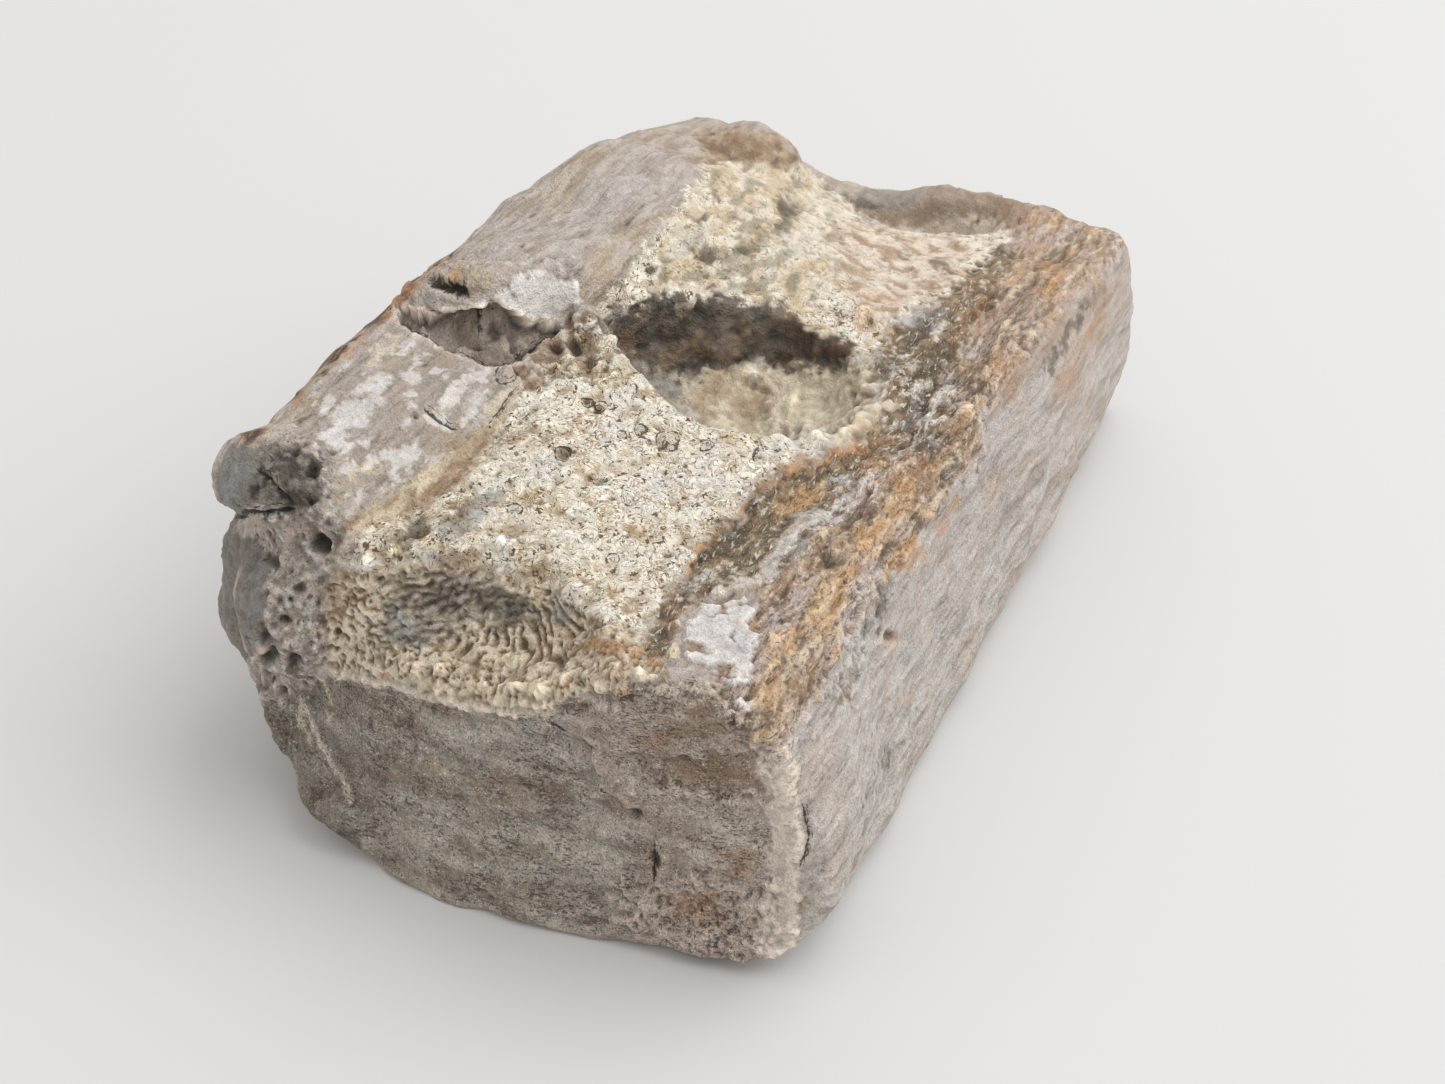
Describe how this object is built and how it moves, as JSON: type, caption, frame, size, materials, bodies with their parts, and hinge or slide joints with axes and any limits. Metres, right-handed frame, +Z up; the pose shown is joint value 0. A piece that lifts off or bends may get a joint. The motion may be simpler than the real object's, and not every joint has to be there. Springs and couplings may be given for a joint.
{
  "type": "fossil crocodile jaw bone section",
  "caption": "Weathered section of fossil crocodile jaw bone, broken across at both ends, with tooth sockets along its upper side and a flat underside that it rests on.",
  "frame": {"origin": "middle of the bounding box, on the surface that the section rests on", "axes": "+X across the jaw towards its flat inner wall, +Y along the row of tooth sockets towards the far broken end, +Z up"},
  "size_m": [0.0598, 0.0907, 0.0354],
  "materials": {
    "fossil_bone": "rough mineralised bone, grey and cream with brown and orange stains"
  },
  "bodies": {
    "root": {"jaw_bone_section": "fossil_bone"}
  },
  "joints": []
}
